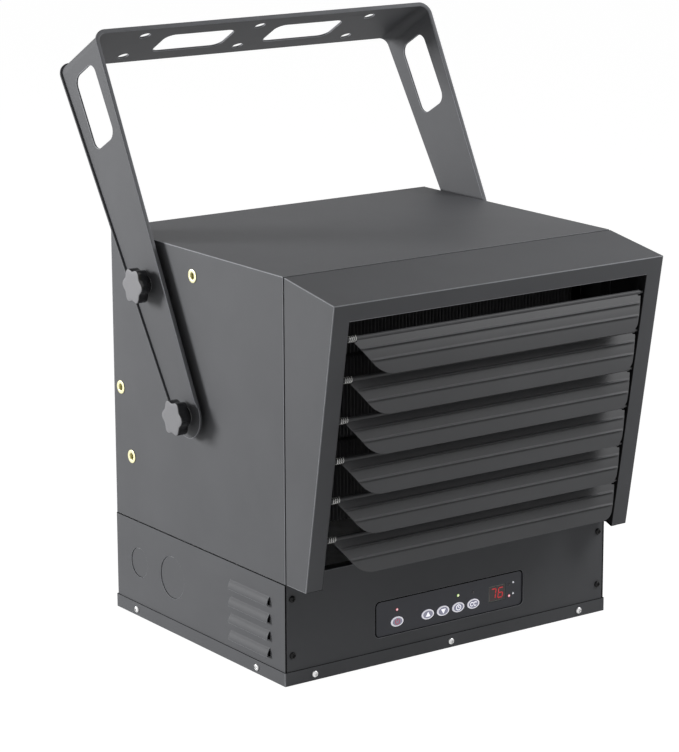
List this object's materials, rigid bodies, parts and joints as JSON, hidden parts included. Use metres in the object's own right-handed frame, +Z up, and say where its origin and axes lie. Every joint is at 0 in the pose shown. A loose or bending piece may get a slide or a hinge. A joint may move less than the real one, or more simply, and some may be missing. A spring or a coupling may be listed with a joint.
{
  "type": "garage heater",
  "caption": "Ceiling or wall mounted electric garage heater: steel cabinet, louvred hood, control box and a tilting bracket clamped by knobs.",
  "frame": {"origin": "centre of the underside of the base pan, midway between the sides and between the seam and the rear", "axes": "+X to the right as seen from the front, +Y from the front to the rear, +Z up"},
  "size_m": [0.5204, 0.5505, 0.6913],
  "materials": {
    "cabinet_paint": "dark grey powder coat with a fine texture",
    "louver_paint": "dark grey satin powder coat",
    "galvanised_sheet": "bare galvanised sheet",
    "guard_wire": "black enamelled wire",
    "motor_shell": "black painted shell",
    "bright_steel": "zinc plated steel",
    "fan_blades": "plain aluminium sheet",
    "fin_black": "black oxidised steel",
    "insulator": "matt white ceramic",
    "spring_steel": "bright spring wire",
    "spacer_black": "black nylon",
    "yellow_plating": "yellow passivated plating",
    "knob_plastic": "black moulded plastic",
    "fascia_black": "dark blue-black printed panel",
    "button_grey": "pale grey printed buttons with white rims",
    "board_green": "green circuit board",
    "display_glass": "dark red display window",
    "lit_red": "lit red and green lamps",
    "terminal_plastic": "cream moulding",
    "contactor_plastic": "black moulding",
    "coil_varnish": "varnished iron core and copper winding",
    "grommet_rubber": "black rubber",
    "black_screws": "black oxide"
  },
  "bodies": {
    "root": {"base_pan": "cabinet_paint", "lower_box": "cabinet_paint", "front_panel": "cabinet_paint", "deck": "galvanised_sheet", "cabinet": "cabinet_paint", "rear_panel": "cabinet_paint", "fan_guard": "guard_wire", "hood": "cabinet_paint", "fan_shroud": "galvanised_sheet", "motor_mount": "galvanised_sheet", "fan_motor": "motor_shell", "heating_element_1": "fin_black", "heating_element_2": "fin_black", "heating_element_3": "fin_black", "element_insulators": "insulator", "element_rack_left": "galvanised_sheet", "element_rack_right": "galvanised_sheet", "overheat_cutout": "bright_steel", "louver_springs": "spring_steel", "pivot_spacers": "spacer_black", "rivet_nuts": "yellow_plating", "control_fascia": "fascia_black", "control_board": "board_green", "display_window": "display_glass", "display_digits": "lit_red", "indicator_lamps": "lit_red", "terminal_block": "terminal_plastic", "contactors": "contactor_plastic", "transformer": "coil_varnish", "ground_lug": "yellow_plating", "deck_grommet": "grommet_rubber", "pan_screws": "bright_steel", "panel_screws": "black_screws", "motor_screws": "bright_steel"},
    "bracket": {"bracket": "cabinet_paint"},
    "fan_rotor": {"fan": "fan_blades", "fan_shaft": "bright_steel"},
    "pivot_clamp_left": {"pivot_washer_left": "bright_steel"},
    "pivot_knob_left": {"pivot_knob_left": "knob_plastic", "pivot_stud_left": "bright_steel"},
    "pivot_clamp_right": {"pivot_washer_right": "bright_steel"},
    "pivot_knob_right": {"pivot_knob_right": "knob_plastic", "pivot_stud_right": "bright_steel"},
    "lock_clamp_left": {"lock_washer_left": "bright_steel"},
    "lock_knob_left": {"lock_knob_left": "knob_plastic", "lock_stud_left": "bright_steel"},
    "lock_clamp_right": {"lock_washer_right": "bright_steel"},
    "lock_knob_right": {"lock_knob_right": "knob_plastic", "lock_stud_right": "bright_steel"},
    "louver_1": {"louver_1": "louver_paint"},
    "louver_2": {"louver_2": "louver_paint"},
    "louver_3": {"louver_3": "louver_paint"},
    "louver_4": {"louver_4": "louver_paint"},
    "louver_5": {"louver_5": "louver_paint"},
    "louver_6": {"louver_6": "louver_paint"},
    "power_button": {"power_button": "button_grey"},
    "up_button": {"up_button": "button_grey"},
    "down_button": {"down_button": "button_grey"},
    "timer_button": {"timer_button": "button_grey"},
    "mode_button": {"mode_button": "button_grey"}
  },
  "joints": [
    {"name": "bracket_tilt", "type": "hinge", "parent": "root", "child": "bracket", "pos_m": [0, 0.002, 0.2745], "axis": [-1, 0, 0], "range_deg": [-30, 90]},
    {"name": "fan_spin", "type": "hinge", "parent": "root", "child": "fan_rotor", "pos_m": [0, 0.0815, 0.2905], "axis": [0, 1, 0], "continuous": true},
    {"name": "pivot_clamp_left_slide", "type": "slide", "parent": "root", "child": "pivot_clamp_left", "axis": [-1, 0, 0], "range_m": [0, 0.0025]},
    {"name": "pivot_knob_left_turn", "type": "hinge", "parent": "pivot_clamp_left", "child": "pivot_knob_left", "pos_m": [0, 0.002, 0.2745], "axis": [-1, 0, 0], "range_deg": [0, 720]},
    {"name": "pivot_clamp_right_slide", "type": "slide", "parent": "root", "child": "pivot_clamp_right", "axis": [1, 0, 0], "range_m": [0, 0.0025]},
    {"name": "pivot_knob_right_turn", "type": "hinge", "parent": "pivot_clamp_right", "child": "pivot_knob_right", "pos_m": [0, 0.002, 0.2745], "axis": [1, 0, 0], "range_deg": [0, 720]},
    {"name": "lock_clamp_left_slide", "type": "slide", "parent": "bracket", "child": "lock_clamp_left", "axis": [-1, 0, 0], "range_m": [0, 0.0025]},
    {"name": "lock_knob_left_turn", "type": "hinge", "parent": "lock_clamp_left", "child": "lock_knob_left", "pos_m": [0, 0.082, 0.41306], "axis": [-1, 0, 0], "range_deg": [0, 720]},
    {"name": "lock_clamp_right_slide", "type": "slide", "parent": "bracket", "child": "lock_clamp_right", "axis": [1, 0, 0], "range_m": [0, 0.0025]},
    {"name": "lock_knob_right_turn", "type": "hinge", "parent": "lock_clamp_right", "child": "lock_knob_right", "pos_m": [0, 0.082, 0.41306], "axis": [1, 0, 0], "range_deg": [0, 720]},
    {"name": "louver_1_tilt", "type": "hinge", "parent": "root", "child": "louver_1", "pos_m": [0, -0.26245, 0.40711], "axis": [-1, 0, 0], "range_deg": [-28, 55]},
    {"name": "louver_2_tilt", "type": "hinge", "parent": "root", "child": "louver_2", "pos_m": [0, -0.25466, 0.36085], "axis": [-1, 0, 0], "range_deg": [-28, 55]},
    {"name": "louver_3_tilt", "type": "hinge", "parent": "root", "child": "louver_3", "pos_m": [0, -0.24687, 0.3146], "axis": [-1, 0, 0], "range_deg": [-28, 55]},
    {"name": "louver_4_tilt", "type": "hinge", "parent": "root", "child": "louver_4", "pos_m": [0, -0.23908, 0.26834], "axis": [-1, 0, 0], "range_deg": [-28, 55]},
    {"name": "louver_5_tilt", "type": "hinge", "parent": "root", "child": "louver_5", "pos_m": [0, -0.23129, 0.22208], "axis": [-1, 0, 0], "range_deg": [-28, 55]},
    {"name": "louver_6_tilt", "type": "hinge", "parent": "root", "child": "louver_6", "pos_m": [0, -0.22349, 0.17582], "axis": [-1, 0, 0], "range_deg": [-28, 55]},
    {"name": "power_press", "type": "slide", "parent": "root", "child": "power_button", "axis": [0, 1, 0], "range_m": [0, 0.0008], "stiffness_N_per_m": 800, "springref_m": -0.0005},
    {"name": "up_press", "type": "slide", "parent": "root", "child": "up_button", "axis": [0, 1, 0], "range_m": [0, 0.0008], "stiffness_N_per_m": 800, "springref_m": -0.0005},
    {"name": "down_press", "type": "slide", "parent": "root", "child": "down_button", "axis": [0, 1, 0], "range_m": [0, 0.0008], "stiffness_N_per_m": 800, "springref_m": -0.0005},
    {"name": "timer_press", "type": "slide", "parent": "root", "child": "timer_button", "axis": [0, 1, 0], "range_m": [0, 0.0008], "stiffness_N_per_m": 800, "springref_m": -0.0005},
    {"name": "mode_press", "type": "slide", "parent": "root", "child": "mode_button", "axis": [0, 1, 0], "range_m": [0, 0.0008], "stiffness_N_per_m": 800, "springref_m": -0.0005}
  ],
  "couplings": [
    {"joint": "pivot_knob_left_turn", "follows": "pivot_clamp_left_slide", "rad_per_m": 5026.5},
    {"joint": "pivot_knob_right_turn", "follows": "pivot_clamp_right_slide", "rad_per_m": 5026.5},
    {"joint": "lock_knob_left_turn", "follows": "lock_clamp_left_slide", "rad_per_m": 5026.5},
    {"joint": "lock_knob_right_turn", "follows": "lock_clamp_right_slide", "rad_per_m": 5026.5}
  ]
}
